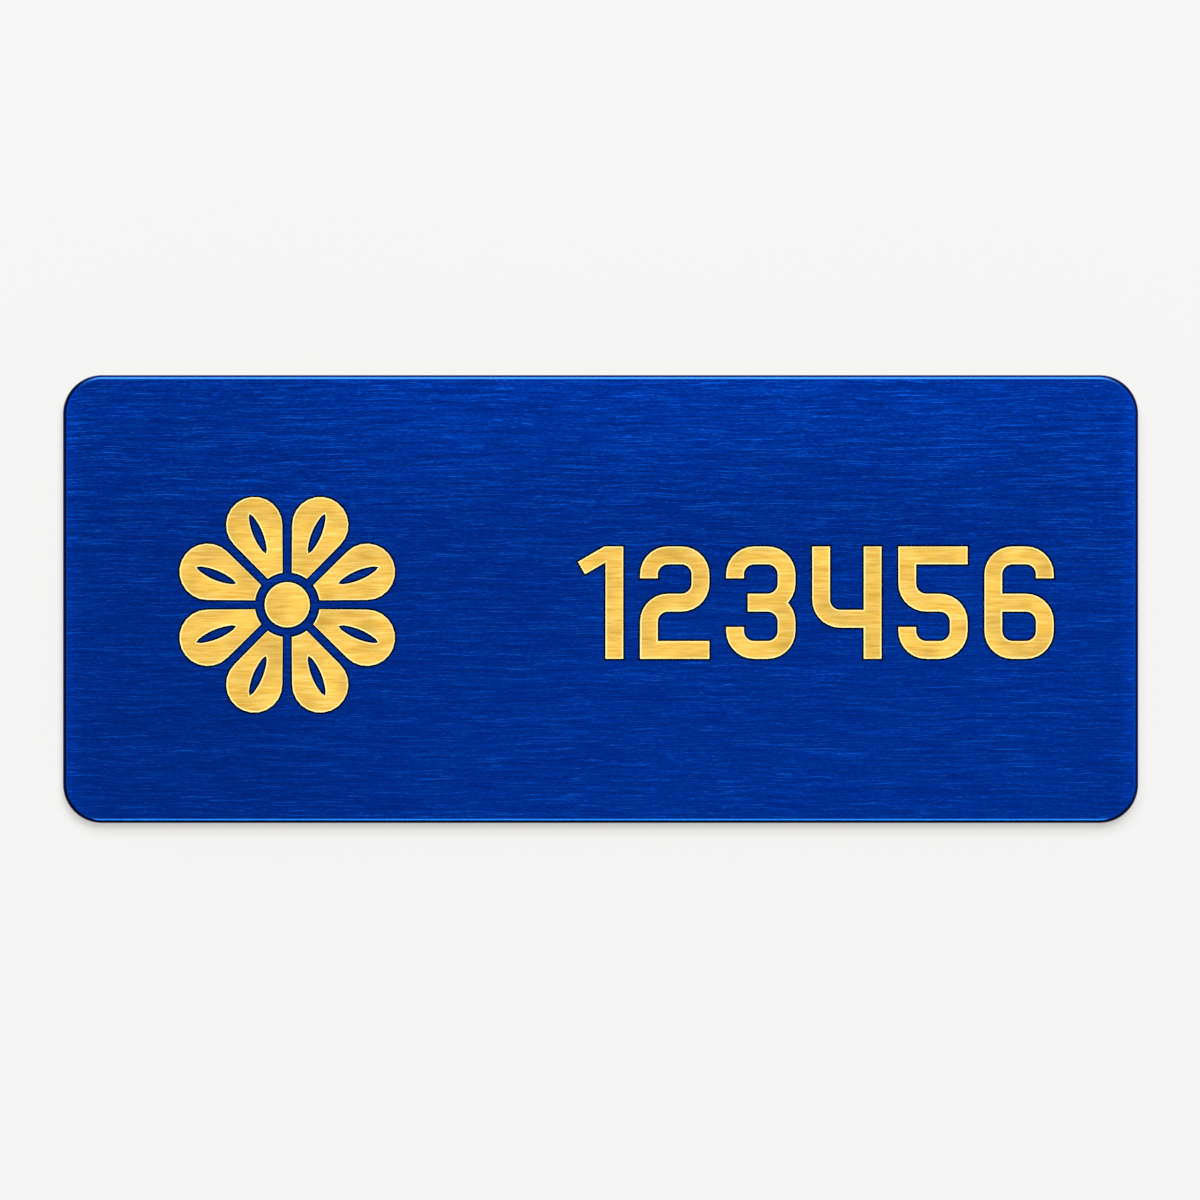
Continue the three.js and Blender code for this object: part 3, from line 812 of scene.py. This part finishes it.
def plated_steel():
    """Steel pressed and wound, then plated with bright nickel, which leaves rolling marks faintly seen."""
    material, tree = new_material("nickel-plated steel")
    place = add(tree, "ShaderNodeTexCoord")["Object"]
    grain = brush_marks(tree, place, 1.5 * MM, 0.08 * MM, 5)
    cloud = add(tree, "ShaderNodeTexNoise", {
        "Vector": place, "Scale": 1 / NICKEL_CLOUD, "Detail": 3.0,
    })["Fac"]
    tone = add(tree, "ShaderNodeValToRGB", {"Fac": cloud}, stops=NICKEL_TONES)["Color"]
    roughness = add(tree, "ShaderNodeMapRange", {
        "Value": cloud, "From Min": NOISE_LOW, "From Max": NOISE_HIGH, "To Min": 0.27, "To Max": 0.32,
    })["Result"]
    finish_metal(tree, grain, 0.2, 0.005 * MM, {"Base Color": tone, "Roughness": roughness})
    return material


# Camera and studio

def make_camera():
    """A camera straight above, at the photograph's framing."""
    pixel = (PLATE_HIGH.x - PLATE_LOW.x) / BADGE_PIXELS
    data = bpy.data.cameras.new("camera")
    data.lens, data.sensor_width = LENS, SENSOR
    data.clip_start, data.clip_end = CLIP
    camera = bpy.data.objects.new("camera", data)
    bpy.context.scene.collection.objects.link(camera)
    middle = PHOTO_PIXELS / 2
    camera.location = (
        (middle - BADGE_CENTRE[0]) * pixel,
        (BADGE_CENTRE[1] - middle) * pixel,
        PLATE_HIGH.z - FRONT_EDGE_RADIUS + PHOTO_PIXELS * pixel * LENS / SENSOR,
    )
    bpy.context.scene.camera = camera


def make_floor():
    """A pale board, lit a little from within."""
    mesh = bmesh.new()
    bmesh.ops.create_grid(mesh, x_segments=1, y_segments=1, size=FLOOR_HALF)
    floor = new_object("floor", mesh)
    board, tree = new_material("backlit white board")
    shader = add(tree, "ShaderNodeBsdfPrincipled", {
        "Base Color": srgb(BOARD_COLOUR), "Roughness": 1.0, "Specular IOR Level": 0.0,
        "Emission Color": (1, 1, 1, 1), "Emission Strength": BOARD_GLOW,
    })["BSDF"]
    add(tree, "ShaderNodeOutputMaterial", {"Surface": shader})
    floor.data.materials.append(board)
    return floor


def make_room():
    """A dim white room. Where the camera sees it past the board, it is as bright as the board's far end."""
    world = bpy.data.worlds.new("room")
    world.use_nodes = True
    tree = world.node_tree
    tree.nodes.clear()
    seen = add(tree, "ShaderNodeLightPath")["Is Camera Ray"]
    glow = add(tree, "ShaderNodeMapRange", {
        "Value": seen, "To Min": ROOM_LIGHT, "To Max": BACKDROP,
    })["Result"]
    wall = add(tree, "ShaderNodeBackground", {"Color": (1, 1, 1, 1), "Strength": glow})["Background"]
    add(tree, "ShaderNodeOutputWorld", {"Surface": wall})
    bpy.context.scene.world = world
    bpy.context.scene.view_settings.view_transform = "Standard"


def softbox(name, tilt, size, share):
    """A rectangular light that faces the badge."""
    data = bpy.data.lights.new(name, "AREA")
    data.shape = "RECTANGLE"
    data.size, data.size_y = size
    across, along = (math.tan(math.radians(angle)) for angle in tilt)
    direction = Vector((across, along, 1)).normalized()
    data.energy = share * math.pi ** 2 * LIGHT_DISTANCE ** 2 / direction.z
    light = bpy.data.objects.new(name, data)
    light.location = direction * LIGHT_DISTANCE
    light.rotation_euler = (-direction).to_track_quat("-Z", "Y").to_euler()
    bpy.context.scene.collection.objects.link(light)
    return light


def make_lights(floor):
    """Two lights almost overhead, and three cards that only the badge sees, for its rounded edges."""
    for name, light in LIGHTS.items():
        softbox(name, *light)
    spared = bpy.data.collections.new("spared by the cards")
    spared.objects.link(floor)
    spared.collection_objects[0].light_linking.link_state = "EXCLUDE"
    for name, card in CARDS.items():
        softbox(name, *card).light_linking.receiver_collection = spared


make_camera()
make_room()
make_lights(make_floor())
slab = rounded_slab_tree()
make_plate(slab, brushed_lacquer())
make_marks(cut_brass())
make_pin(slab, plated_steel())
